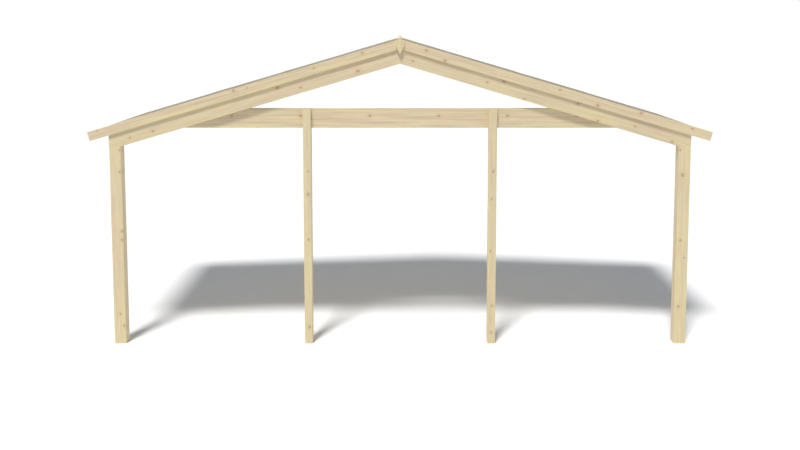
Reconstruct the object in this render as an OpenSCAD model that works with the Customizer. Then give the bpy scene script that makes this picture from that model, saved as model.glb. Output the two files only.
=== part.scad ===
/* [Frame] */
// Width over the outer faces of the corner posts
frame_w = 5940; // [4000:10:7200]
// Depth from the building's wall to the front face of the frame
frame_d = 2000; // [1400:10:3200]
// Clear width between the two inner posts
middle_bay_w = 1820; // [1000:10:2400]
// Pitch of both roof slopes, in degrees
pitch = 16.5; // [12:0.5:22]

/* [Posts] */
// Height of the corner posts
corner_post_h = 2070; // [1800:10:2400]
// Side of the square corner posts
corner_post_w = 120; // [90:1:150]
// Width of the inner posts' front face
inner_post_w = 80; // [60:1:120]
// Depth of the inner posts, front to back
inner_post_d = 120; // [90:1:150]
// Chamfer on the posts' long edges
post_arris = 4; // [0.5:0.5:10]

/* [Rafters and tie beam] */
// Thickness of the gable and wall rafters
rafter_t = 45; // [35:1:70]
// Depth of the rafters, square to the slope
rafter_h = 210; // [170:5:260]
// Height of the tie beam's underside above the corner posts' tops
tie_rise = 187; // [120:1:260]
// Thickness of the tie beam
tie_t = 45; // [35:1:60]
// Height of the tie beam
tie_h = 200; // [145:5:240]
// Distance from the corner posts' inner faces back to the tie beam's ends
tie_end_gap = 150; // [60:5:300]
// Chamfer on the long edges of the rafters, the tie beam and the purlins
frame_arris = 3; // [0.5:0.5:8]

/* [Purlins] */
// Width of the ridge purlin
ridge_purlin_w = 60; // [45:1:100]
// Height of the ridge purlin at its bevelled crown
ridge_purlin_h = 195; // [145:5:220]
// Width of the upper and lower purlins
purlin_w = 45; // [35:1:70]
// Height of the upper and lower purlins at mid width
purlin_h = 145; // [95:5:175]
// Width of the eaves purlins
eaves_purlin_w = 70; // [45:1:90]

/* [Roof] */
// Distance that the roof's top edge reaches past the corner posts
overhang = 210; // [100:5:400]
// Thickness of the roof boards
deck_t = 16; // [12:1:24]
// Thickness of the roofing felt
felt_t = 2; // [1:0.5:4]

/* [Trim] */
// Height of the barge boards, square to the slope
barge_h = 95; // [70:1:145]
// Thickness of the barge boards
barge_t = 20; // [14:1:28]
// Height that the barge boards stand proud of the felt, square to the slope
barge_proud = 10; // [0:1:16]
// Height of the eaves boards, square to the slope
eaves_board_h = 70; // [45:1:90]
// Thickness of the eaves boards
eaves_board_t = 18; // [12:1:28]
// Width of the ridge plate on the gable
ridge_plate_w = 92; // [70:1:140]
// Height of the ridge plate from its peak to its lower point
ridge_plate_h = 150; // [130:1:220]
// Height of the ridge plate's pointed lower end
ridge_plate_point_h = 83; // [50:1:100]
// Thickness of the ridge plate
ridge_plate_t = 19; // [12:1:28]
// Width of the ridge cap
ridge_cap_w = 44; // [36:1:120]
// Thickness of the ridge cap at its edges
ridge_cap_edge = 18; // [6:1:24]
// Thickness of the ridge cap at its crown
ridge_cap_crown = 24; // [10:1:36]
// Chamfer on the front edges of the barge boards and the ridge plate, and on the eaves boards
trim_arris = 2; // [0.5:0.5:5]

/* [Steel] */
// Thickness of the hangers' and angles' sheet steel
steel_t = 2; // [1.5:0.5:4]
// Height of the hangers' cheeks
hanger_h = 90; // [60:5:120]
// Length of purlin that a hanger holds on its seat
hanger_seat = 75; // [50:5:90]
// Depth of the hangers' cheeks at their tops
cheek_top_d = 28; // [15:1:45]
// Height of the hangers' cheeks at the outer end of the seat
cheek_toe_h = 30; // [15:1:50]
// Width of each hanger flange
flange_w = 32; // [20:1:45]
// Leg width of the eaves angles
angle_w = 60; // [40:5:90]
// Height of the eaves angles
angle_h = 120; // [60:5:150]
// Diameter of the bolt holes through the wall rafters
wall_bolt_d = 12; // [8:1:16]

/* [Hidden] */

LEFT = -1;
RIGHT = 1;

// Colours
pine = [0.87, 0.80, 0.66];
planed_pine = [0.88, 0.82, 0.68];
roofing = [0.33, 0.34, 0.33];
zinc = [0.66, 0.67, 0.68];

// Levels square to the slope, counted from the rafters' underside
deck_top = rafter_h + deck_t;
roof_top = deck_top + felt_t;
barge_top = roof_top + barge_proud;

// Places across the frame, counted from its middle
post_out_x = frame_w / 2;
post_in_x = post_out_x - corner_post_w;
eaves_x = post_out_x + overhang;
inner_post_x = (middle_bay_w + inner_post_w) / 2;

// Places front to back: the wall is at 0 and the front is at -frame_d
front_y = -frame_d;
rafter_back_y = front_y + rafter_t;
wall_rafter_y = -rafter_t;
plate_front_y = front_y - barge_t - ridge_plate_t;

// Heights above the ground
tie_z = corner_post_h + tie_rise;
tie_top = tie_z + tie_h;

// The rafters' underside starts from the corner posts' inner top edges. This is the height
// above the ground of a line parallel to it, `up` mm higher square to the slope.
function slope_z(x, up = 0) = corner_post_h + (post_in_x - x) * tan(pitch) + up / cos(pitch);

// The distance from the middle at which such a line reaches the height z
function slope_x(z, up = 0) = post_in_x - (z - corner_post_h - up / cos(pitch)) / tan(pitch);

// A point on the roof's eaves end, which is square to the slope, `inset` mm up the slope from it
function eaves_point(up, inset = 0) = [
    eaves_x - (roof_top - up) * sin(pitch) - inset * cos(pitch),
    slope_z(eaves_x, roof_top) - (roof_top - up) * cos(pitch) + inset * sin(pitch)
];

// The lower purlins bear on the tie beam, and the upper ones lie halfway up to the ridge
lower_purlin_x = slope_x(tie_top + purlin_h, rafter_h);
upper_purlin_x = lower_purlin_x / 2;
eaves_purlin_x = post_out_x - eaves_purlin_w / 2;

// Bolt holes through the wall rafters, kept clear of the hangers
lower_bay = eaves_purlin_x - lower_purlin_x;
wall_bolts_x = [
    upper_purlin_x / 2,
    (upper_purlin_x + lower_purlin_x) / 2,
    lower_purlin_x + lower_bay / 3,
    lower_purlin_x + lower_bay * 2 / 3
];

// The origin lies on the wall, at mid height of the wall rafters' mitre
origin_h = (slope_z(0) + slope_z(0, rafter_h)) / 2;

// Places what is measured from the ground
module on_ground() {
    translate([0, 0, -origin_h]) children();
}

// Draws the right-hand piece, or its mirror image on the left
module on_side(side) {
    if (side == LEFT) mirror([1, 0, 0]) children();
    else children();
}

// Extrudes an upright outline, drawn across the frame, from front to back
module upright(from_y, to_y) {
    translate([0, to_y, 0]) rotate([90, 0, 0]) linear_extrude(to_y - from_y) children();
}

// A planed bar across the whole frame, its section drawn as y and height. Its long edges are
// chamfered by `front` on the front face and by `back` on the back face, or left square by 0.
module planed_bar(from_y, to_y, low, high, front, back) {
    front_face = [[from_y, high - front], [from_y, low + front]];
    back_face = [[to_y, low + back], [to_y, high - back]];
    translate([-eaves_x, 0, 0]) rotate([90, 0, 90]) linear_extrude(2 * eaves_x) polygon(concat(
        front_face, front > 0 ? [[from_y + front, low]] : [],
        back > 0 ? [[to_y - back, low]] : [], back_face, back > 0 ? [[to_y - back, high]] : [],
        front > 0 ? [[from_y + front, high]] : []
    ));
}

// Such a bar laid down the right-hand slope, its heights being levels square to the slope
module sloping_bar(from_y, to_y, low, high, front, back) {
    translate([post_in_x, 0, corner_post_h]) rotate([0, pitch, 0]) translate([-eaves_x / 2, 0, 0])
        planed_bar(from_y, to_y, low, high, front, back);
}

// A square-cut timber of w by d, standing on the ground, with chamfered long edges
module post_timber(w, d, h) {
    a = post_arris;
    linear_extrude(h) polygon([
        [-w / 2 + a, 0], [w / 2 - a, 0], [w / 2, a], [w / 2, d - a],
        [w / 2 - a, d], [-w / 2 + a, d], [-w / 2, d - a], [-w / 2, a]
    ]);
}

// A layer of the roof between two levels, from the ridge to `inset` mm short of the eaves end
module roof_layer(low, high, inset = 0) {
    polygon([
        [0, slope_z(0, low)], [0, slope_z(0, high)],
        eaves_point(high, inset), eaves_point(low, inset)
    ]);
}

// A plumb purlin's outline, its top bevelled to the slope under the roof boards
module purlin_outline(x, w, bottom) {
    a = frame_arris;
    polygon([
        [x - w / 2 + a, bottom], [x + w / 2 - a, bottom], [x + w / 2, bottom + a],
        [x + w / 2, slope_z(x + w / 2, rafter_h)], [x - w / 2, slope_z(x - w / 2, rafter_h)],
        [x - w / 2, bottom + a]
    ]);
}

function purlin_bottom(x) = slope_z(x, rafter_h) - purlin_h;

module corner_post(side) {
    color(pine) on_ground() on_side(side)
        translate([post_out_x - corner_post_w / 2, front_y, 0])
            post_timber(corner_post_w, corner_post_w, corner_post_h);
}

// Notched at the back, so that its tenon stands in front of the tie beam that it carries
module inner_post(side) {
    color(pine) on_ground() on_side(side) translate([inner_post_x, front_y, 0]) difference() {
        post_timber(inner_post_w, inner_post_d, tie_top);
        translate([-inner_post_w, rafter_t, tie_z])
            cube([2 * inner_post_w, inner_post_d, tie_h + 1]);
    }
}

// Cut to a mitre at the ridge, and to a plumb end and a level seat at the corner post
module rafter(from_y, to_y) {
    intersection() {
        sloping_bar(from_y, to_y, 0, rafter_h, frame_arris, frame_arris);
        translate([0, from_y, corner_post_h])
            cube([post_out_x, to_y - from_y, slope_z(0, roof_top) - corner_post_h]);
    }
}

module gable_rafter(side) {
    color(pine) on_ground() on_side(side) rafter(front_y, rafter_back_y);
}

module wall_rafter(side) {
    color(pine) on_ground() on_side(side) difference() {
        rafter(wall_rafter_y, 0);
        for (x = wall_bolts_x)
            translate([x, 1, slope_z(x, rafter_h / 2)])
                rotate([90, 0, 0]) cylinder(h = rafter_t + 2, d = wall_bolt_d, $fn = 48);
    }
}

// Screwed to the rafters' backs, with its ends cut to the slope under the roof boards
module tie_beam() {
    half = post_in_x - tie_end_gap;
    back_y = rafter_back_y + tie_t;
    color(pine) on_ground() intersection() {
        planed_bar(rafter_back_y, back_y, tie_z, tie_top, frame_arris, frame_arris);
        upright(rafter_back_y, back_y) polygon([
            [-half, corner_post_h], [half, corner_post_h], [half, slope_z(half, rafter_h)],
            [0, slope_z(0, rafter_h)], [-half, slope_z(half, rafter_h)]
        ]);
    }
}

module ridge_purlin() {
    half = ridge_purlin_w / 2;
    bottom = slope_z(0, rafter_h) - ridge_purlin_h;
    a = frame_arris;
    color(pine) on_ground() upright(rafter_back_y, wall_rafter_y) polygon([
        [-half + a, bottom], [half - a, bottom], [half, bottom + a],
        [half, slope_z(half, rafter_h)], [0, slope_z(0, rafter_h)],
        [-half, slope_z(half, rafter_h)], [-half, bottom + a]
    ]);
}

module purlin(side, x) {
    color(pine) on_ground() on_side(side)
        upright(rafter_back_y, wall_rafter_y) purlin_outline(x, purlin_w, purlin_bottom(x));
}

// Stands on the back of the corner post's top, flush with its outer face
module eaves_purlin(side) {
    color(pine) on_ground() on_side(side) upright(rafter_back_y, wall_rafter_y)
        purlin_outline(eaves_purlin_x, eaves_purlin_w, corner_post_h);
}

// A folded hanger for a purlin of width w, drawn at the origin with its seat at height 0 and its
// flanges against a rafter face at y = 0. The purlin runs away from the face towards +Y, and the
// cheeks taper from the flanges to the outer end of the seat.
module hanger(w) {
    t = steel_t;
    outer = w + 2 * t;
    difference() {
        union() {
            translate([-outer / 2, 0, 0]) rotate([90, 0, 90]) linear_extrude(outer) polygon([
                [0, -t], [hanger_seat, -t], [hanger_seat, cheek_toe_h],
                [cheek_top_d, hanger_h], [0, hanger_h]
            ]);
            translate([-outer / 2 - flange_w, 0, 0]) cube([outer + 2 * flange_w, t, hanger_h]);
        }
        translate([-w / 2, -1, 0]) cube([w, hanger_seat + 2, hanger_h + 1]);
    }
}

module front_hangers() {
    color(zinc) on_ground() translate([0, rafter_back_y, 0]) {
        translate([0, 0, slope_z(0, rafter_h) - ridge_purlin_h]) hanger(ridge_purlin_w);
        for (side = [LEFT, RIGHT])
            translate([side * upper_purlin_x, 0, purlin_bottom(upper_purlin_x)]) hanger(purlin_w);
    }
}

module wall_hangers() {
    color(zinc) on_ground() translate([0, wall_rafter_y, 0]) mirror([0, 1, 0]) {
        translate([0, 0, slope_z(0, rafter_h) - ridge_purlin_h]) hanger(ridge_purlin_w);
        for (side = [LEFT, RIGHT], x = [upper_purlin_x, lower_purlin_x])
            translate([side * x, 0, purlin_bottom(x)]) hanger(purlin_w);
    }
}

// Angles in the corners between the eaves purlins and the wall rafters
module eaves_angles() {
    in_x = post_out_x - eaves_purlin_w;
    color(zinc) on_ground() for (side = [LEFT, RIGHT])
        on_side(side) translate([in_x, wall_rafter_y, corner_post_h]) {
            translate([-steel_t, -angle_w, 0]) cube([steel_t, angle_w, angle_h]);
            translate([-angle_w, -steel_t, 0]) cube([angle_w, steel_t, angle_h]);
        }
}

module roof_deck(side) {
    color(planed_pine) on_ground() on_side(side)
        upright(front_y, 0) roof_layer(rafter_h, deck_top, eaves_board_t);
}

module roof_felt(side) {
    color(roofing) on_ground() on_side(side) upright(front_y, 0) roof_layer(deck_top, roof_top);
}

// Closes the ends of the roof boards at the eaves, with its lower edges chamfered
module eaves_board(side) {
    low = deck_top - eaves_board_h;
    a = trim_arris;
    color(planed_pine) on_ground() on_side(side) upright(front_y, 0) polygon([
        eaves_point(deck_top), eaves_point(deck_top, eaves_board_t),
        eaves_point(low + a, eaves_board_t), eaves_point(low, eaves_board_t - a),
        eaves_point(low, a), eaves_point(low + a)
    ]);
}

// Keeps the roof's edge behind it, and is cut square to the slope at the eaves
module barge_board(side) {
    low = barge_top - barge_h;
    color(planed_pine) on_ground() on_side(side) intersection() {
        sloping_bar(front_y - barge_t, front_y, low, barge_top, trim_arris, 0);
        upright(front_y - barge_t, front_y) roof_layer(low - trim_arris, barge_top + trim_arris);
    }
}

// Cuts a chamfer `a` wide along each front edge of an upright piece, whose outline has its
// corners anticlockwise as seen from the front
module ease_front(outline, from_y, a) {
    difference() {
        children();
        for (i = [0 : len(outline) - 1]) {
            corner = outline[i];
            run = outline[(i + 1) % len(outline)] - corner;
            translate([corner.x, from_y, corner.y]) rotate([0, -atan2(run.y, run.x), 0])
                translate([-a, 0, 0]) rotate([90, 0, 90]) linear_extrude(norm(run) + 2 * a)
                    polygon([[-a, -a], [2 * a, -a], [-a, 2 * a]]);
        }
    }
}

// Covers the barge boards' mitre: peaked at the top and pointed at the bottom
module ridge_plate() {
    half = ridge_plate_w / 2;
    tip_z = slope_z(0, barge_top) - ridge_plate_h;
    outline = [
        [0, tip_z], [half, tip_z + ridge_plate_point_h], [half, slope_z(half, barge_top)],
        [0, slope_z(0, barge_top)],
        [-half, slope_z(half, barge_top)], [-half, tip_z + ridge_plate_point_h]
    ];
    color(planed_pine) on_ground() ease_front(outline, plate_front_y, trim_arris)
        upright(plate_front_y, front_y - barge_t) polygon(outline);
}

// Straddles the ridge from the barge boards' mitre to the wall
module ridge_cap() {
    half = ridge_cap_w / 2;
    edge_z = slope_z(half, roof_top);
    peak_z = slope_z(0, roof_top);
    color(planed_pine) on_ground() upright(front_y, 0) polygon([
        [0, peak_z], [half, edge_z], [half, edge_z + ridge_cap_edge],
        [0, peak_z + ridge_cap_crown],
        [-half, edge_z + ridge_cap_edge], [-half, edge_z]
    ]);
}

corner_post(LEFT);  // corner_post_left
corner_post(RIGHT);  // corner_post_right
inner_post(LEFT);  // inner_post_left
inner_post(RIGHT);  // inner_post_right
gable_rafter(LEFT);  // gable_rafter_left
gable_rafter(RIGHT);  // gable_rafter_right
wall_rafter(LEFT);  // wall_rafter_left
wall_rafter(RIGHT);  // wall_rafter_right
tie_beam();
ridge_purlin();
purlin(LEFT, upper_purlin_x);  // upper_purlin_left
purlin(RIGHT, upper_purlin_x);  // upper_purlin_right
purlin(LEFT, lower_purlin_x);  // lower_purlin_left
purlin(RIGHT, lower_purlin_x);  // lower_purlin_right
eaves_purlin(LEFT);  // eaves_purlin_left
eaves_purlin(RIGHT);  // eaves_purlin_right
front_hangers();
wall_hangers();
eaves_angles();
roof_deck(LEFT);  // roof_deck_left
roof_deck(RIGHT);  // roof_deck_right
roof_felt(LEFT);  // roof_felt_left
roof_felt(RIGHT);  // roof_felt_right
eaves_board(LEFT);  // eaves_board_left
eaves_board(RIGHT);  // eaves_board_right
barge_board(LEFT);  // barge_board_left
barge_board(RIGHT);  // barge_board_right
ridge_plate();
ridge_cap();
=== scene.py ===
import math
import random

import bpy
from mathutils import Euler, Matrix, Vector


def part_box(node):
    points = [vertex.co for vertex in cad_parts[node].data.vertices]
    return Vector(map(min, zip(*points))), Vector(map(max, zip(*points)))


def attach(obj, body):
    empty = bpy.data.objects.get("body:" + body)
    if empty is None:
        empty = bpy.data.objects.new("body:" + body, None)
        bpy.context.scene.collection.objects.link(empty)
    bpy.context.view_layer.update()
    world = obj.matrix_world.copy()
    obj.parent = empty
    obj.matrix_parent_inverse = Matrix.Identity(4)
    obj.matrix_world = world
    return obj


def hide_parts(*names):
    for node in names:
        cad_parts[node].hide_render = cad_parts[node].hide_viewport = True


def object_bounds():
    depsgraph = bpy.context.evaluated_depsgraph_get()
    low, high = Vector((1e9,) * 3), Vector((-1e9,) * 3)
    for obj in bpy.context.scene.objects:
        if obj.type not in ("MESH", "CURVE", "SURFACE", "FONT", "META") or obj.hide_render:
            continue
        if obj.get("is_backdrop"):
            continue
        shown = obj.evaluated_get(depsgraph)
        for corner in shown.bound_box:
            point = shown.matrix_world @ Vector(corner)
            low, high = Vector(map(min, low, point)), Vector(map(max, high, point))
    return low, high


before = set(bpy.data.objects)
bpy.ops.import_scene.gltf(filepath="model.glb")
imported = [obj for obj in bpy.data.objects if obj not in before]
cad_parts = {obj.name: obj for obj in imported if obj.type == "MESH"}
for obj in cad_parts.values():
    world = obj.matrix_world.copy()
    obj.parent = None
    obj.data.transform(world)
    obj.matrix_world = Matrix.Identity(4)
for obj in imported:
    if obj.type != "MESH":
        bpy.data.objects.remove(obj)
cad_low, cad_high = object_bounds()


# ---------------------------------------------------------------------------------------
# Viewpoint
# The cover is seen square on from its open front, from a little above the ridge. The shift
# keeps the posts nearly upright.
# ---------------------------------------------------------------------------------------
ground_z = cad_low.z
front_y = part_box("corner_post_left")[0].y

camera_distance = 8.9
camera_height = 3.318
camera_tilt = math.radians(5.28)

bpy.ops.object.camera_add(
    location=(0, front_y - camera_distance, ground_z + camera_height),
    rotation=(math.radians(90) - camera_tilt, 0, 0),
)
camera = bpy.context.object
camera.data.lens = 39.6
camera.data.shift_y = -0.15
camera.data.clip_end = 400
bpy.context.scene.camera = camera


# ---------------------------------------------------------------------------------------
# Studio
# A plain pale floor under soft daylight: a faintly cool sky that is brightest round the horizon,
# a faintly warm, hazy sun in front of the cover and high on its left, and a cool fill light low
# on either side, which lifts the posts' sides and hardly reaches the floor.
# ---------------------------------------------------------------------------------------
horizon_strength = 1.45
zenith_strength = 0.25
horizon_band = 0.35
sky_tint = (0.925, 1.000, 1.090)
sun_strength = 3.0
sun_tint = (1.02, 1.00, 0.98)
sun_travel = (0.18, 0.478, -1.0)
sun_disc = math.radians(10.8)
fill_from_left = 1.65
fill_from_right = 1.2
fill_drop = 0.022
fill_disc = math.radians(6)
floor_tone = 0.81
floor_seen = (0.905, 0.910, 0.925)
floor_size = 300

bpy.context.scene.view_settings.view_transform = "Standard"


def node(tree, kind, inputs=None, **settings):
    """Adds a shader node. inputs maps a socket's name or number to a value or to a socket."""
    made = tree.nodes.new("ShaderNode" + kind)
    for key, value in settings.items():
        setattr(made, key, value)
    for key, value in (inputs or {}).items():
        if isinstance(value, bpy.types.NodeSocket):
            tree.links.new(value, made.inputs[key])
        else:
            made.inputs[key].default_value = value
    return made


def calc(tree, operation, a, b=0.0, c=0.0):
    return node(tree, "Math", {0: a, 1: b, 2: c}, operation=operation).outputs[0]


def background_ray(tree):
    """1 for rays that show the background: from the camera, off gloss or through glass."""
    ray = node(tree, "LightPath").outputs
    seen = calc(tree, "MAXIMUM", ray["Is Camera Ray"], ray["Is Glossy Ray"])
    return calc(tree, "MAXIMUM", seen, ray["Is Transmission Ray"])


def sunlight(travel, strength, tint, disc):
    """A sun lamp whose light travels that way, with that much of the sky as its disc."""
    bpy.ops.object.light_add(type="SUN")
    lamp = bpy.context.object
    lamp.rotation_euler = Vector(travel).to_track_quat("-Z", "Y").to_euler()
    lamp.data.energy = strength
    lamp.data.color = tint
    lamp.data.angle = disc


world = bpy.data.worlds.new("studio_sky")
bpy.context.scene.world = world
world.use_nodes = True
sky = world.node_tree
sky.nodes.clear()
sky_direction = node(sky, "TexCoord").outputs["Generated"]
sky_height = node(sky, "SeparateXYZ", {0: sky_direction}).outputs[2]
sky_level = node(sky, "MapRange", {0: sky_height, 1: 0.0, 2: horizon_band, 3: horizon_strength,
                                   4: zenith_strength}).outputs[0]
backdrop = background_ray(sky)
sky_level = node(sky, "Mix", {0: backdrop, 2: sky_level, 3: 1.0}).outputs[0]
sky_colour = node(sky, "Mix", {0: backdrop, 6: (*sky_tint, 1), 7: (1, 1, 1, 1)},
                  data_type="RGBA").outputs[2]
soft_sky = node(sky, "Background", {"Color": sky_colour, "Strength": sky_level})
node(sky, "OutputWorld", {"Surface": soft_sky.outputs[0]})

sunlight(sun_travel, sun_strength, sun_tint, sun_disc)
sunlight((1, 0, -fill_drop), fill_from_left, sky_tint, fill_disc)
sunlight((-1, 0, -fill_drop), fill_from_right, sky_tint, fill_disc)

bpy.ops.mesh.primitive_plane_add(size=floor_size, location=(0, 0, ground_z))
floor = bpy.context.object
floor.name = "studio_floor"
floor_paint = bpy.data.materials.new("pale_floor")
floor_paint.use_nodes = True
floor_tree = floor_paint.node_tree
floor_tree.nodes.clear()
floor_colour = node(floor_tree, "Mix", {0: background_ray(floor_tree), 6: (floor_tone,) * 3 + (1,),
                                        7: (*floor_seen, 1)}, data_type="RGBA").outputs[2]
floor_matt = node(floor_tree, "BsdfDiffuse", {"Color": floor_colour})
node(floor_tree, "OutputMaterial", {"Surface": floor_matt.outputs[0]})
floor.data.materials.append(floor_paint)
floor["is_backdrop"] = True


# ---------------------------------------------------------------------------------------
# Corner posts
# Planed pine posts, square-cut, with their long edges chamfered. Pine is pale, with pinkish
# heartwood and yellower sapwood, rings round the pith, and small brown knots.
# ---------------------------------------------------------------------------------------
pine_pale = (0.620, 0.520, 0.334)
pine_yellow = (0.622, 0.535, 0.290)
pine_pink = (0.639, 0.499, 0.341)
late_wood = (0.480, 0.352, 0.196)
end_wood = (0.430, 0.343, 0.228)
knot_halo = (0.560, 0.390, 0.245)
knot_wood = (0.370, 0.250, 0.130)
knot_rim = (0.210, 0.125, 0.058)

# How much of each of those colours shows where its mark is strongest
late_share = 0.22
end_share = 0.55
halo_share = 0.34
knot_share = 0.60
rim_share = 0.34
knot_heart_share = 0.30

ring_width = 0.0042
heart_radius = 0.075
pine_relief = 0.0006

# A knot's width to its length along the grain, and a distance in knot radii that no knot reaches
knot_narrowing = 0.75
knot_free = 99.0

upright_grain = (0, math.radians(90), 0)

# Knots as the distance from the post's middle, the height above the ground and the radius
left_corner_knots = ((0.048, 2.032, 0.008), (0.044, 1.808, 0.009), (0.048, 1.191, 0.009),
                     (0.046, 1.099, 0.009), (0.007, 0.318, 0.008), (0.044, 0.190, 0.009))
right_corner_knots = ((-0.050, 2.032, 0.008), (-0.019, 1.777, 0.014), (-0.022, 1.094, 0.009),
                      (0.024, 0.914, 0.007), (-0.022, 0.395, 0.009))


def mix(tree, factor, a, b, mode="MIX"):
    """Blends two colours; each is a socket or an (r, g, b)."""
    a, b = (c if isinstance(c, bpy.types.NodeSocket) else (*c, 1.0) for c in (a, b))
    return node(tree, "Mix", {0: factor, 6: a, 7: b}, data_type="RGBA", blend_type=mode).outputs[2]


def fade(tree, value, start, end):
    """1 below start and 0 above end, with a smooth turn between."""
    return node(tree, "MapRange", {0: value, 1: start, 2: end, 3: 1.0, 4: 0.0},
                interpolation_type="SMOOTHSTEP").outputs[0]


def noise(tree, place, waves, detail=2.0):
    """Noise with that many waves a metre along x, y and z."""
    scaled = node(tree, "VectorMath", {0: place, 1: waves}, operation="MULTIPLY").outputs[0]
    return node(tree, "TexNoise", {"Vector": scaled, "Scale": 1.0, "Detail": detail}).outputs[0]


def vary(tree, middle, *terms):
    """middle, varied by each (value, weight) as the value moves about a half."""
    total = middle - 0.5 * sum(weight for _, weight in terms)
    for value, weight in terms:
        total = calc(tree, "MULTIPLY_ADD", value, weight, total)
    return total


def tone_ramp(tree, value, first, second, third):
    """A colour that runs through three stops, each a position and an (r, g, b)."""
    ramp = node(tree, "ValToRGB", {0: value})
    stops = ramp.color_ramp.elements
    for stop, (position, colour) in zip(stops, (first, second)):
        stop.position = position
        stop.color = (*colour, 1)
    stops.new(third[0]).color = (*third[1], 1)
    return ramp.outputs[0]


def distance_from(tree, place, centre, scale):
    """Distance of place from a centre, with x, y and z scaled."""
    offset = node(tree, "VectorMath", {0: place, 1: centre}, operation="SUBTRACT").outputs[0]
    offset = node(tree, "VectorMath", {0: offset, 1: scale}, operation="MULTIPLY").outputs[0]
    return node(tree, "VectorMath", {0: offset}, operation="LENGTH").outputs["Value"]


def knot_distance(tree, place, grain, cut, knots):
    """Distance from the nearest of the given knots' middles, in knot radii. A knot runs through
    the timber's depth."""
    nearest = knot_free
    for x, z, radius in knots:
        centre = Euler(grain).to_matrix() @ Vector((x, 0, z)) + Vector(cut)
        away = distance_from(tree, place, centre, (knot_narrowing / radius, 0, 1 / radius))
        nearest = calc(tree, "MINIMUM", nearest, away)
    return nearest


def scattered_knot_distance(tree, place, spacing=0.15, radius=0.010, share=0.3):
    """The same for knots that lie by chance, in that share of the cells of a loose grid."""
    narrowed = {0: place, 1: (knot_narrowing, 0, 1)}
    face = node(tree, "VectorMath", narrowed, operation="MULTIPLY").outputs[0]
    face = node(tree, "SeparateXYZ", {0: face}).outputs
    face = node(tree, "CombineXYZ", {0: face[0], 1: face[2]}).outputs[0]
    cells = node(tree, "TexVoronoi", {"Vector": face, "Scale": 1 / spacing},
                 voronoi_dimensions="2D").outputs
    chance = node(tree, "SeparateColor", {0: cells["Color"]}).outputs[0]
    bare = calc(tree, "GREATER_THAN", chance, share)
    return calc(tree, "MULTIPLY_ADD", cells["Distance"], spacing / radius,
                calc(tree, "MULTIPLY", bare, knot_free))


def knot_marks(tree, place, away):
    """A knot with rings of its own, its dark rim, its heart, and the halo of deeper colour
    round it, each as a share from 0 to 1."""
    uneven = noise(tree, place, (70, 70, 70))
    away = calc(tree, "ADD", away, vary(tree, 0.0, (uneven, 0.7)))
    rings = calc(tree, "PINGPONG", calc(tree, "MULTIPLY", away, 4.0), 1.0)
    knot = calc(tree, "MULTIPLY", fade(tree, away, 0.70, 1.25),
                vary(tree, knot_share, (rings, 0.26)))
    rim = calc(tree, "MULTIPLY", fade(tree, away, 0.95, 1.25),
               calc(tree, "SUBTRACT", 1.0, fade(tree, away, 0.6, 0.95)))
    return knot, rim, fade(tree, away, 0.1, 0.5), fade(tree, away, 0.9, 4.0)


def board_place(tree, place):
    """The place, moved to another part of the tree for each board."""
    board = node(tree, "Attribute", attribute_name="board").outputs["Fac"]
    offset = node(tree, "CombineXYZ", {0: calc(tree, "MULTIPLY", board, 31.0),
                                       2: calc(tree, "MULTIPLY", board, 0.09)}).outputs[0]
    return node(tree, "VectorMath", {0: place, 1: offset}, operation="ADD").outputs[0]


def end_grain(tree, normal, grain):
    """1 where the surface faces along the grain."""
    facing = node(tree, "Mapping", {"Vector": normal, "Rotation": grain},
                  vector_type="VECTOR").outputs[0]
    facing = calc(tree, "ABSOLUTE", node(tree, "SeparateXYZ", {0: facing}).outputs[0])
    return calc(tree, "SUBTRACT", 1.0, fade(tree, facing, 0.75, 0.95))


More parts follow.
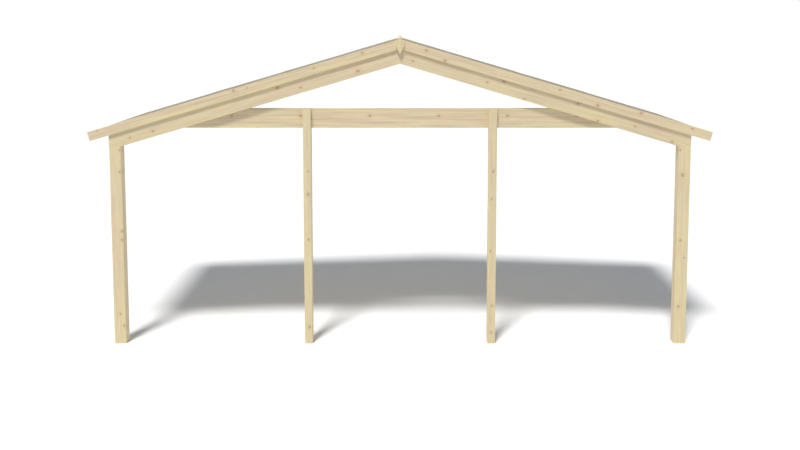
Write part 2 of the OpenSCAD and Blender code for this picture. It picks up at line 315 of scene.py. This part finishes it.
def pine(name, grain, cut, middle, knots=None, pith=(0.05, 0.02), streaks=1.0, yellowness=0.5,
         lightness=1.0, per_board=False):
    """Pine whose grain runs along the x axis that grain turns the object's space to, cut from
    that part of an endless tree. middle is a point on the timber's centre line, and pith is how
    far behind it and above it the tree's pith runs. Without a list, knots lie by chance. streaks
    sets how strongly the grain is marked, and yellowness runs from 0 for pink to 1. A material
    for many boards takes each board's cut from its attribute."""
    material = bpy.data.materials.new(name)
    material.use_nodes = True
    tree = material.node_tree
    shader = tree.nodes["Principled BSDF"]
    surface = node(tree, "TexCoord").outputs
    place = node(tree, "Mapping", {"Vector": surface["Object"], "Rotation": grain,
                                   "Location": cut}).outputs[0]
    centre = Euler(grain).to_matrix() @ Vector(middle) + Vector(cut) + Vector((0, *pith))
    centre.x = 0
    if per_board:
        place = board_place(tree, place)
    if knots is None:
        away = scattered_knot_distance(tree, place)
    else:
        away = knot_distance(tree, place, grain, cut, knots)
    knot, rim, knot_heart, halo = knot_marks(tree, place, away)

    # Rings round the pith, wandering along the grain and bulging round the knots
    radius = distance_from(tree, place, centre, (0, 1, 1))
    wander = noise(tree, place, (0.9, 5, 5), detail=3.0)
    radius = calc(tree, "ADD", radius, vary(tree, 0.0, (wander, 0.035), (halo, 0.012)))
    ring = calc(tree, "FRACT", calc(tree, "DIVIDE", radius, ring_width))
    late = tone_ramp(tree, ring, (0.30, (0, 0, 0)), (0.85, (1, 1, 1)), (0.98, (0, 0, 0)))

    # Heartwood and sapwood, streaks along the grain, and fine fibres
    sap = calc(tree, "SUBTRACT", 1.0, fade(tree, radius, 0.4 * heart_radius, 1.4 * heart_radius))
    broad = noise(tree, place, (0.8, 16, 16), detail=3.0)
    narrow = noise(tree, place, (1.8, 60, 60), detail=2.0)
    fibre = noise(tree, place, (6, 260, 260), detail=2.0)
    hue = vary(tree, yellowness, (sap, 0.16), (broad, 0.6), (narrow, 0.8))
    wood = tone_ramp(tree, hue, (0.34, pine_pink), (0.50, pine_pale), (0.66, pine_yellow))
    wood = mix(tree, calc(tree, "MULTIPLY", late, late_share), wood, late_wood)
    level = vary(tree, lightness, (broad, 0.12), (narrow, 0.33 * streaks), (fibre, 0.12 * streaks))
    level = node(tree, "CombineColor", {0: level, 1: level, 2: level}).outputs[0]
    wood = mix(tree, 1.0, wood, level, "MULTIPLY")

    # Knots, and the darker end grain
    wood = mix(tree, calc(tree, "MULTIPLY", halo, halo_share), wood, knot_halo)
    wood = mix(tree, knot, wood, knot_wood)
    wood = mix(tree, calc(tree, "MULTIPLY", rim, rim_share), wood, knot_rim)
    wood = mix(tree, calc(tree, "MULTIPLY", knot_heart, knot_heart_share), wood, knot_rim)
    ends = end_grain(tree, surface["Normal"], grain)
    wood = mix(tree, calc(tree, "MULTIPLY", ends, end_share), wood, end_wood)
    tree.links.new(wood, shader.inputs["Base Color"])

    tree.links.new(vary(tree, 0.60, (late, -0.12), (fibre, 0.10)), shader.inputs["Roughness"])
    shader.inputs["Specular IOR Level"].default_value = 0.3
    relief = vary(tree, 0.5, (late, 0.5), (fibre, 1.0), (rim, -0.6))
    bump = node(tree, "Bump", {"Height": relief, "Strength": 0.35, "Distance": pine_relief})
    tree.links.new(bump.outputs[0], shader.inputs["Normal"])
    return material


def paint(cad_node, material):
    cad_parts[cad_node].material_slots[0].material = material


def dress(cad_node, grain, cut, **details):
    """Gives a CAD timber its own piece of pine."""
    low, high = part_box(cad_node)
    paint(cad_node, pine(cad_node + "_pine", grain, cut, (low + high) / 2, **details))


def post_knots(cad_node, knots):
    low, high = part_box(cad_node)
    return [((low.x + high.x) / 2 + x, ground_z + up, radius) for x, up, radius in knots]


dress("corner_post_left", upright_grain, (3.1, 0.4, 0.2), pith=(0.03, 0.02), yellowness=0.45,
      lightness=1.04, knots=post_knots("corner_post_left", left_corner_knots))
dress("corner_post_right", upright_grain, (7.7, 1.3, 0.9), pith=(0.02, 0.03), streaks=1.2,
      lightness=1.03, knots=post_knots("corner_post_right", right_corner_knots))


# ---------------------------------------------------------------------------------------
# Inner posts
# Slimmer posts of the same pine. Their tops are notched at the back, so that a tenon stands
# in front of the tie beam and the beam rests on the shoulder.
# ---------------------------------------------------------------------------------------
left_inner_knots = ((0.010, 1.813, 0.007), (0.010, 1.577, 0.012), (0.008, 1.104, 0.008),
                    (0.010, 0.175, 0.011))
right_inner_knots = ((0.005, 1.813, 0.010), (-0.010, 1.525, 0.007), (-0.020, 0.981, 0.007),
                     (0.005, 0.406, 0.009), (0.000, 0.118, 0.008))

dress("inner_post_left", upright_grain, (12.4, 2.6, 1.7), pith=(0.06, -0.03), yellowness=0.44,
      lightness=1.04, knots=post_knots("inner_post_left", left_inner_knots))
dress("inner_post_right", upright_grain, (17.9, 3.5, 2.3), pith=(0.02, 0.01),
      knots=post_knots("inner_post_right", right_inner_knots))


# ---------------------------------------------------------------------------------------
# Tie beam
# One long planed pine beam, held to the inner posts and the rafters by hex-headed timber
# screws driven from the back, each with a washer. Its knots follow each other in whorls.
# ---------------------------------------------------------------------------------------
tie_knot_count = 6
tie_knot_spacing = 0.705
first_tie_knot = -1.72
tie_knot_rise = 0.123
tie_knot_radius = 0.011
tie_screw_from_edge = 0.05
washer_radius = 0.014
washer_thickness = 0.0025
washer_rim = 0.0006
hex_radius = 0.0085
hex_height = 0.0065
hex_rim = 0.0012

# The screws into each rafter, as the distance from the middle and above the beam's underside
rafter_screws = ((2.02, 0.135), (2.30, 0.07), (2.34, 0.14), (2.58, 0.06))

zinc_light = (0.62, 0.63, 0.64)
zinc_dark = (0.48, 0.49, 0.51)
zinc_roughness = 0.45
spangles_per_metre = 140.0
zinc_relief = 0.0004

tie_low, tie_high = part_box("tie_beam")
tie_knots = [(first_tie_knot + tie_knot_spacing * i, tie_low.z + tie_knot_rise, tie_knot_radius)
             for i in range(tie_knot_count)]
dress("tie_beam", (0, 0, 0), (23.3, 0.7, 4.1), pith=(0.01, 0.0), streaks=1.8, knots=tie_knots)


def zinc_steel(name):
    """Steel with a dull zinc coat, which shows a faint spangle."""
    material = bpy.data.materials.new(name)
    material.use_nodes = True
    tree = material.node_tree
    shader = tree.nodes["Principled BSDF"]
    place = node(tree, "TexCoord").outputs["Object"]
    cells = node(tree, "TexVoronoi", {"Vector": place, "Scale": spangles_per_metre})
    spangle = cells.outputs["Color"]
    grey = node(tree, "SeparateColor", {0: spangle}).outputs[0]
    tree.links.new(mix(tree, grey, zinc_dark, zinc_light), shader.inputs["Base Color"])
    shader.inputs["Metallic"].default_value = 1.0
    tree.links.new(vary(tree, zinc_roughness, (grey, 0.14)), shader.inputs["Roughness"])
    haze = noise(tree, place, (60, 60, 60), detail=4.0)
    bump = node(tree, "Bump", {"Height": haze, "Strength": 0.15, "Distance": zinc_relief})
    tree.links.new(bump.outputs[0], shader.inputs["Normal"])
    return material


def deselect_all():
    if bpy.context.object and bpy.context.object.mode != "OBJECT":
        bpy.ops.object.mode_set(mode="OBJECT")
    bpy.ops.object.select_all(action="DESELECT")


def edit_edges(piece, wanted):
    """Opens edit mode with only the edges selected that wanted(a, b) picks."""
    bpy.ops.object.mode_set(mode="EDIT")
    bpy.ops.mesh.select_mode(type="EDGE")
    bpy.ops.mesh.select_all(action="DESELECT")
    bpy.ops.object.mode_set(mode="OBJECT")
    for edge in piece.data.edges:
        a, b = (piece.data.vertices[i].co for i in edge.vertices)
        edge.select = bool(wanted(a, b))
    bpy.ops.object.mode_set(mode="EDIT")


def turned_disc(name, sides, radius, low, high, rim):
    """A disc that stands on its axis between two heights, with its top rim bevelled."""
    deselect_all()
    bpy.ops.mesh.primitive_cylinder_add(vertices=sides, radius=radius, depth=high - low,
                                        location=(0, 0, (low + high) / 2))
    disc = bpy.context.object
    disc.name = name
    bpy.ops.object.transform_apply(location=True, rotation=True, scale=True)
    edit_edges(disc, lambda a, b: min(a.z, b.z) > (low + high) / 2)
    bpy.ops.mesh.bevel(offset=rim, segments=2)
    bpy.ops.object.mode_set(mode="OBJECT")
    return disc


def joined(pieces):
    deselect_all()
    for piece in pieces:
        piece.select_set(True)
    bpy.context.view_layer.objects.active = pieces[0]
    if len(pieces) > 1:
        bpy.ops.object.join()
    return pieces[0]


def faced(piece, outwards):
    """Turns a piece that stands on +Z to face another way."""
    joined([piece])
    piece.rotation_euler = Vector(outwards).to_track_quat("Z", "Y").to_euler()
    bpy.ops.object.transform_apply(location=False, rotation=True, scale=False)
    return piece


def set_out(piece, places):
    """Sets a copy of the piece at each place, each with its own mesh, and joins them."""
    copies = []
    for place in places:
        twin = piece.copy()
        twin.data = piece.data.copy()
        twin.location = place
        bpy.context.collection.objects.link(twin)
        copies.append(twin)
    name = piece.name
    bpy.data.objects.remove(piece)
    whole = joined(copies)
    bpy.ops.object.transform_apply(location=True, rotation=True, scale=True)
    whole.name = name
    return whole


def finish_piece(piece, slot, material, *replaced):
    """Applies the piece's place, gives it its material and puts it on the frame."""
    joined([piece])
    bpy.ops.object.transform_apply(location=True, rotation=True, scale=True)
    piece.data.materials.clear()
    piece.data.materials.append(material)
    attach(piece, "root")
    if replaced:
        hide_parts(*replaced)


inner_low, inner_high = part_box("inner_post_right")
inner_x = (inner_low.x + inner_high.x) / 2
screw_places = []
for sign in (-1, 1):
    for z in (tie_low.z + tie_screw_from_edge, tie_high.z - tie_screw_from_edge):
        screw_places.append((sign * inner_x, tie_high.y, z))
    for x, up in rafter_screws:
        screw_places.append((sign * x, tie_high.y, tie_low.z + up))

washer = turned_disc("tie_screws", 28, washer_radius, 0, washer_thickness, washer_rim)
hex_head = turned_disc("hex_head", 6, hex_radius, washer_thickness,
                       washer_thickness + hex_height, hex_rim)
tie_screws = set_out(faced(joined([washer, hex_head]), (0, 1, 0)), screw_places)
finish_piece(tie_screws, "zinc_steel", zinc_steel("screw_zinc"))


# ---------------------------------------------------------------------------------------
# Rafters
# Two pairs of planed pine rafters, mitred at the ridge. The gable's pair is seated on the
# corner posts' tops, and the back pair lies flat against the wall.
# ---------------------------------------------------------------------------------------
# Knots as the distance from the middle, the depth below the barge boards' top and the radius
left_rafter_knots = ((0.426, 0.188, 0.013), (1.007, 0.183, 0.009), (1.243, 0.120, 0.013),
                     (2.516, 0.182, 0.010), (2.753, 0.179, 0.008))
right_rafter_knots = ((0.128, 0.176, 0.009), (0.883, 0.168, 0.009), (1.053, 0.113, 0.011),
                      (1.263, 0.223, 0.008), (1.808, 0.113, 0.011), (2.013, 0.222, 0.010),
                      (2.393, 0.171, 0.008), (2.773, 0.213, 0.010))


def roof_line(cad_node):
    """The peak's height, the eaves corner's x and the pitch of a right-hand layer's top."""
    corners = [v.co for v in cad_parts[cad_node].data.vertices]
    peak = max(corners, key=lambda c: c.z)
    eaves = max(corners, key=lambda c: c.x)
    return peak.z, eaves.x, math.atan2(peak.z - eaves.z, eaves.x)


barge_peak, _, pitch = roof_line("barge_board_right")
slope_grain = {"left": (0, pitch, 0), "right": (0, -pitch, 0)}
sides = (("left", -1), ("right", 1))


def gable_height(x, depth):
    """The height of a point at x, that far below the barge boards' top, square to the slope."""
    return barge_peak - abs(x) * math.tan(pitch) - depth / math.cos(pitch)


def slope_knots(sign, knots):
    return [(sign * x, gable_height(x, depth), radius) for x, depth, radius in knots]


dress("gable_rafter_left", slope_grain["left"], (31.2, 1.9, 5.3), pith=(0.02, -0.03),
      knots=slope_knots(-1, left_rafter_knots))
dress("gable_rafter_right", slope_grain["right"], (38.8, 2.8, 6.4), pith=(0.03, 0.02), streaks=1.4,
      yellowness=0.44, knots=slope_knots(1, right_rafter_knots))
dress("wall_rafter_left", slope_grain["left"], (45.1, 3.3, 7.9), pith=(0.05, -0.02))
dress("wall_rafter_right", slope_grain["right"], (52.6, 4.2, 8.8), pith=(0.04, 0.03))


# ---------------------------------------------------------------------------------------
# Purlins
# Plumb pine purlins run from the gable to the wall, with their tops bevelled to the slope.
# ---------------------------------------------------------------------------------------
level_grain = (0, 0, math.radians(-90))

dress("ridge_purlin", level_grain, (58.3, 5.2, 9.4))
purlins_done = 0
for purlin in ("upper_purlin", "lower_purlin", "eaves_purlin"):
    for side, sign in sides:
        purlins_done += 1
        cut = (60.0 + 4.7 * purlins_done, 0.9 * purlins_done, 10.0 + 1.3 * purlins_done)
        dress(f"{purlin}_{side}", level_grain, cut, pith=(0.04 * sign, 0.03))


# ---------------------------------------------------------------------------------------
# Hangers and angles
# Folded from 2 mm steel sheet with a dull zinc coat, and held to the timbers by round-headed
# nails through their flanges, cheeks and legs.
# ---------------------------------------------------------------------------------------
steel_t = 0.002
flange_w = 0.032
nail_head_radius = 0.0038
nail_head_height = 0.0014
nail_head_rim = 0.0006

# Levels are shares of the piece's height, and a cheek's nails also have their distance from the
# flanges
flange_nail_levels = (0.15, 0.50, 0.85)
cheek_nails = ((0.18, 0.045), (0.42, 0.022))
leg_nail_levels = (0.2, 0.5, 0.8)
leg_nail_from_edge = 0.018

hanger_zinc = zinc_steel("hanger_zinc")
for cad_node in ("front_hangers", "wall_hangers", "eaves_angles"):
    paint(cad_node, hanger_zinc)


def loose_boxes(cad_node):
    """The lowest and highest corners of each separate solid of a CAD node, from left to right."""
    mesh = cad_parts[cad_node].data
    group = {}
    for v in mesh.vertices:
        group.setdefault(tuple(round(c, 6) for c in v.co), len(group))
    parent = list(range(len(group)))

    def root(i):
        while parent[i] != i:
            i = parent[i]
        return i

    for face in mesh.polygons:
        spots = [group[tuple(round(c, 6) for c in mesh.vertices[i].co)] for i in face.vertices]
        for spot in spots[1:]:
            parent[root(spot)] = root(spots[0])
    solids = {}
    for spot, i in group.items():
        solids.setdefault(root(i), []).append(spot)
    boxes = [(Vector(map(min, zip(*spots))), Vector(map(max, zip(*spots))))
             for spots in solids.values()]
    return sorted(boxes, key=lambda box: box[0].x)


def nail_head(name, outwards):
    head = turned_disc(name, 10, nail_head_radius, 0, nail_head_height, nail_head_rim)
    return faced(head, outwards)


for cad_node, back in (("front_hangers", -1), ("wall_hangers", 1)):
    flange_places, cheek_places = [], {-1: [], 1: []}
    for low, high in loose_boxes(cad_node):
        face_y = high.y - steel_t if back > 0 else low.y + steel_t
        tall = high.z - low.z
        for sign in (-1, 1):
            edge_x = high.x if sign > 0 else low.x
            for level in flange_nail_levels:
                flange_places.append((edge_x - sign * flange_w / 2, face_y, low.z + level * tall))
            for level, out in cheek_nails:
                cheek_places[sign].append((edge_x - sign * flange_w, face_y - back * out,
                                           low.z + level * tall))
    heads = [set_out(nail_head("flange_nails", (0, -back, 0)), flange_places)]
    for sign in (-1, 1):
        heads.append(set_out(nail_head("cheek_nails", (sign, 0, 0)), cheek_places[sign]))
    nails = joined(heads)
    nails.name = cad_node + "_nails"
    finish_piece(nails, "zinc_steel", hanger_zinc)

purlin_leg_places, rafter_leg_places = {-1: [], 1: []}, []
for (low, high), sign in zip(loose_boxes("eaves_angles"), (-1, 1)):
    inner_x = low.x if sign > 0 else high.x
    outer_x = high.x if sign > 0 else low.x
    for level in leg_nail_levels:
        z = low.z + level * (high.z - low.z)
        purlin_leg_places[sign].append((outer_x - sign * steel_t, low.y + leg_nail_from_edge, z))
        rafter_leg_places.append((inner_x + sign * leg_nail_from_edge, high.y - steel_t, z))
heads = [set_out(nail_head("leg_nails", (0, -1, 0)), rafter_leg_places)]
for sign in (-1, 1):
    heads.append(set_out(nail_head("leg_nails", (-sign, 0, 0)), purlin_leg_places[sign]))
angle_nails = joined(heads)
angle_nails.name = "eaves_angle_nails"
finish_piece(angle_nails, "zinc_steel", hanger_zinc)


# ---------------------------------------------------------------------------------------
# Roof boards
# Tongued and grooved pine boards run from the ridge to the eaves, across the purlins. A
# V joint shows between them from below.
# ---------------------------------------------------------------------------------------
board_count = 21
board_gap = 0.0006
v_joint = 0.003
ridge_spare = 0.03
board_seed = 40
board_cut = (5.0, 2.0, 3.0)

deck_low, deck_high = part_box("roof_deck_right")
deck_peak, deck_eaves_x, _ = roof_line("roof_deck_right")
deck_length = deck_eaves_x / math.cos(pitch)
deck_corners = [v.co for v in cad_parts["roof_deck_right"].data.vertices]
deck_drop = deck_peak - min(c.z for c in deck_corners if c.x < 0.001)
deck_thickness = deck_drop * math.cos(pitch)
board_cover = (deck_high.y - deck_low.y) / board_count


def block(name, low, high):
    """A cube primitive between two corners, with its size in its mesh."""
    deselect_all()
    low, high = Vector(low), Vector(high)
    bpy.ops.mesh.primitive_cube_add(size=1, location=(low + high) / 2)
    made = bpy.context.object
    made.name = name
    made.scale = high - low
    bpy.ops.object.transform_apply(location=True, rotation=True, scale=True)
    return made


def lay_on_slope(piece, sign, peak):
    """Lays a piece on a slope. It was made level, running from the ridge along x * sign."""
    joined([piece])
    piece.rotation_euler = (0, sign * pitch, 0)
    piece.location = (0, 0, peak)
    bpy.ops.object.transform_apply(location=True, rotation=True, scale=True)
    return piece


def mitre_at_ridge(piece, sign):
    joined([piece])
    bpy.ops.object.mode_set(mode="EDIT")
    bpy.ops.mesh.select_all(action="SELECT")
    bpy.ops.mesh.bisect(plane_co=(0, 0, 0), plane_no=(sign, 0, 0), clear_inner=True, use_fill=True)
    bpy.ops.object.mode_set(mode="OBJECT")


for side, sign in sides:
    ends = sorted((-sign * ridge_spare, sign * deck_length))
    boards = block("roof_boards_" + side,
                   (ends[0], deck_low.y + board_gap / 2, -deck_thickness),
                   (ends[1], deck_low.y + board_cover - board_gap / 2, 0))
    edit_edges(boards, lambda a, b: max(a.z, b.z) < -deck_thickness / 2
               and abs(a.x - b.x) > deck_length / 2)
    bpy.ops.mesh.bevel(offset=v_joint, segments=1)
    bpy.ops.object.mode_set(mode="OBJECT")
    rows = boards.modifiers.new("rows", "ARRAY")
    rows.use_relative_offset = False
    rows.use_constant_offset = True
    rows.constant_offset_displace = (0, board_cover, 0)
    rows.count = board_count
    bpy.ops.object.modifier_apply(modifier="rows")

    draws = random.Random(board_seed + sign)
    cuts = [draws.random() for _ in range(board_count)]
    board_mark = boards.data.attributes.new("board", "FLOAT", "FACE")
    for face in boards.data.polygons:
        board_mark.data[face.index].value = cuts[int((face.center.y - deck_low.y) / board_cover)]

    lay_on_slope(boards, sign, deck_peak)
    mitre_at_ridge(boards, sign)
    board_grain = (math.radians(90), 0, -sign * pitch)
    board_pine = pine("roof_board_pine_" + side, board_grain, board_cut, (0, 0, 0),
                      per_board=True)
    finish_piece(boards, "roof_boards", board_pine, "roof_deck_" + side)


# ---------------------------------------------------------------------------------------
# Roofing felt
# Mineral felt laid from the eaves up in overlapping courses, faced with fine brown-grey
# granules, and held along the laps and the verges by galvanised clout nails.
# ---------------------------------------------------------------------------------------
felt_dark = (0.132, 0.113, 0.080)
felt_light = (0.262, 0.230, 0.168)
felt_dust = (1.0, 0.88, 0.64)
felt_dust_weight = 0.30
granules_per_metre = 620.0
granule_height = 0.0006
course_width = 1.0
course_lap = 0.09
wave_angle_per_metre = 14
wave_shift = 1.7
wave_height = 0.0012
wave_share = 0.2
grid_down = 6
grid_along = 112
clout_radius = 0.0045
clout_height = 0.0013
clout_rim = 0.0005
clout_spacing = 0.075
clout_from_edge = 0.03
verge_spacing = 0.1

felt_peak, felt_eaves_x, _ = roof_line("roof_felt_right")
felt_length = felt_eaves_x / math.cos(pitch)
felt_thickness = (felt_peak - deck_peak) * math.cos(pitch)
felt_low, felt_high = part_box("roof_felt_right")


def mineral_felt(name):
    """Felt faced with granules, whose dust lightens it where it is seen along its surface."""
    material = bpy.data.materials.new(name)
    material.use_nodes = True
    tree = material.node_tree
    shader = tree.nodes["Principled BSDF"]
    place = node(tree, "TexCoord").outputs["Object"]
    granules = node(tree, "TexVoronoi", {"Vector": place, "Scale": granules_per_metre})
    granule = node(tree, "SeparateColor", {0: granules.outputs["Color"]}).outputs[0]
    cloud = noise(tree, place, (3, 3, 3), detail=5.0)
    drift = noise(tree, place, (0.7, 14, 0.7), detail=3.0)
    level = vary(tree, 0.5, (granule, 0.75), (cloud, 0.5), (drift, 0.35))
    tree.links.new(mix(tree, level, felt_dark, felt_light), shader.inputs["Base Color"])
    shader.inputs["Roughness"].default_value = 1.0
    shader.inputs["Specular IOR Level"].default_value = 0.05
    shader.inputs["Sheen Weight"].default_value = felt_dust_weight
    shader.inputs["Sheen Roughness"].default_value = 0.5
    shader.inputs["Sheen Tint"].default_value = (*felt_dust, 1)
    bump = node(tree, "Bump", {"Height": granule, "Strength": 0.5, "Distance": granule_height})
    tree.links.new(bump.outputs[0], shader.inputs["Normal"])
    return material


felt_mineral = mineral_felt("felt_mineral")
clout_zinc = zinc_steel("clout_zinc")

# Each course as how far its top and bottom edges lie from the ridge
courses = []
bottom = felt_length
while bottom > 0:
    top = max(bottom - course_width, 0.0)
    courses.append((top, bottom))
    bottom = top + course_lap if top > 0 else 0


def felt_top(distance):
    """How far the felt's top lies above the boards, where the uppermost course rides up."""
    for number, (top, bottom) in reversed(list(enumerate(courses))):
        if top <= distance <= bottom:
            lift = felt_thickness if number else 0.0
            return felt_thickness + lift * (distance - top) / (bottom - top)
    return felt_thickness


def raise_lap(strip, top, bottom, shift):
    """Lifts a course on to the one below it, and waves its bottom edge a little."""
    for v in strip.data.vertices:
        down = (abs(v.co.x) - top) / (bottom - top)
        wave = math.sin(v.co.y * wave_angle_per_metre + shift)
        near_edge = max(down - (1 - wave_share), 0.0) / wave_share
        v.co.z += felt_thickness * down + wave_height * max(wave, 0.0) * near_edge


for side, sign in sides:
    strips = []
    for number, (top, bottom) in enumerate(courses):
        deselect_all()
        bpy.ops.mesh.primitive_grid_add(
            x_subdivisions=grid_down, y_subdivisions=grid_along, size=1,
            location=(sign * (top + bottom) / 2, (felt_low.y + felt_high.y) / 2, 0))
        strip = bpy.context.object
        strip.scale = (bottom - top, felt_high.y - felt_low.y, 1)
        bpy.ops.object.transform_apply(location=True, rotation=True, scale=True)
        bpy.ops.object.mode_set(mode="EDIT")
        bpy.ops.mesh.select_all(action="SELECT")
        bpy.ops.mesh.extrude_region_move(TRANSFORM_OT_translate={"value": (0, 0, felt_thickness)})
        bpy.ops.mesh.select_all(action="SELECT")
        bpy.ops.mesh.normals_make_consistent(inside=False)
        bpy.ops.object.mode_set(mode="OBJECT")
        if number:
            raise_lap(strip, top, bottom, wave_shift * number + sign)
        strips.append(strip)
    felt = joined(strips)
    felt.name = "felt_courses_" + side
    lay_on_slope(felt, sign, deck_peak)
    mitre_at_ridge(felt, sign)
    finish_piece(felt, "roofing_felt", felt_mineral, "roof_felt_" + side)

    places = []
    for number, (top, bottom) in enumerate(courses):
        run = felt_high.y - felt_low.y - 2 * clout_from_edge
        count = round(run / clout_spacing)
        for i in range(count + 1):
            distance = bottom - clout_from_edge
            y = felt_low.y + clout_from_edge + run * i / count
            places.append((sign * distance, y, felt_top(distance)))
    for y in (felt_low.y + clout_from_edge, felt_high.y - clout_from_edge):
        distance = verge_spacing
        while distance < felt_length - verge_spacing / 2:
            places.append((sign * distance, y, felt_top(distance)))
            distance += verge_spacing
    clout = turned_disc("clout_nails_" + side, 10, clout_radius, 0, clout_height, clout_rim)
    clouts = set_out(clout, places)
    lay_on_slope(clouts, sign, deck_peak)
    finish_piece(clouts, "zinc_steel", clout_zinc)


# ---------------------------------------------------------------------------------------
# Trim
# Planed pine boards: eaves boards over the ends of the roof boards and barge boards up the
# gable, held by small countersunk screws, and a cap along the ridge. A pointed ridge plate
# covers the barge boards' mitre, with its screws driven from behind.
# ---------------------------------------------------------------------------------------
left_barge_knots = ((1.686, 0.020, 0.011), (0.379, 0.025, 0.008), (3.080, 0.018, 0.007),
                    (0.871, 0.033, 0.007), (1.550, 0.030, 0.006))
right_barge_knots = ((0.266, 0.033, 0.010), (0.456, 0.077, 0.012), (1.619, 0.032, 0.009),
                     (2.003, 0.075, 0.013), (2.449, 0.022, 0.011), (2.972, 0.026, 0.009))
screw_radius = 0.0035
screw_proud = 0.0004
screw_sunk = 0.001
screw_rim = 0.0003
socket_wall = 0.45 * screw_radius
socket_depth = 0.0015
barge_screws_at = (0.30, 0.85, 1.40, 1.95, 2.50, 3.02)
barge_screw_depths = (0.022, 0.073)
eaves_screw_depth = 0.035
eaves_screw_from_end = 0.10
eaves_screw_count = 5

for side, cut in (("left", (81.5, 1.1, 12.7)), ("right", (86.9, 2.2, 13.6))):
    dress("eaves_board_" + side, level_grain, cut)
dress("barge_board_left", slope_grain["left"], (91.2, 3.1, 14.9), pith=(0.03, 0.03), streaks=1.6,
      knots=slope_knots(-1, left_barge_knots))
dress("barge_board_right", slope_grain["right"], (97.4, 4.4, 15.8), pith=(0.04, -0.02), streaks=1.4,
      knots=slope_knots(1, right_barge_knots))
dress("ridge_plate", upright_grain, (103.3, 5.7, 16.6), pith=(0.08, 0.06), yellowness=0.42,
      knots=())
dress("ridge_cap", level_grain, (108.8, 6.3, 17.5), knots=())


def trim_screw(name, outwards):
    """A small countersunk screw head with a six-sided socket."""
    head = turned_disc(name, 12, screw_radius, -screw_sunk, screw_proud, screw_rim)
    bpy.ops.object.mode_set(mode="EDIT")
    bpy.ops.mesh.select_mode(type="FACE")
    bpy.ops.mesh.select_all(action="DESELECT")
    bpy.ops.object.mode_set(mode="OBJECT")
    for face in head.data.polygons:
        face.select = face.normal.z > 0.99
    bpy.ops.object.mode_set(mode="EDIT")
    bpy.ops.mesh.inset(thickness=socket_wall)
    bpy.ops.mesh.extrude_region_move(TRANSFORM_OT_translate={"value": (0, 0, -socket_depth)})
    bpy.ops.object.mode_set(mode="OBJECT")
    return faced(head, outwards)


screw_steel = zinc_steel("trim_screw_steel")
barge_front_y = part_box("barge_board_left")[0].y
front_places = [(sign * x, barge_front_y, gable_height(x, depth))
                for sign in (-1, 1) for x in barge_screws_at for depth in barge_screw_depths]
finish_piece(set_out(trim_screw("gable_trim_screws", (0, -1, 0)), front_places),
             "zinc_steel", screw_steel)

first_screw_y = deck_low.y + eaves_screw_from_end
eaves_screw_step = (deck_high.y - deck_low.y - 2 * eaves_screw_from_end) / (eaves_screw_count - 1)
for side, sign in sides:
    heads = trim_screw("eaves_screws_" + side, (sign, 0, 0))
    places = [(sign * felt_length, first_screw_y + eaves_screw_step * i, -eaves_screw_depth)
              for i in range(eaves_screw_count)]
    eaves_screws = lay_on_slope(set_out(heads, places), sign, deck_peak)
    finish_piece(eaves_screws, "zinc_steel", screw_steel)


# ---------------------------------------------------------------------------------------
# The finished model's box
# ---------------------------------------------------------------------------------------
low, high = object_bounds()
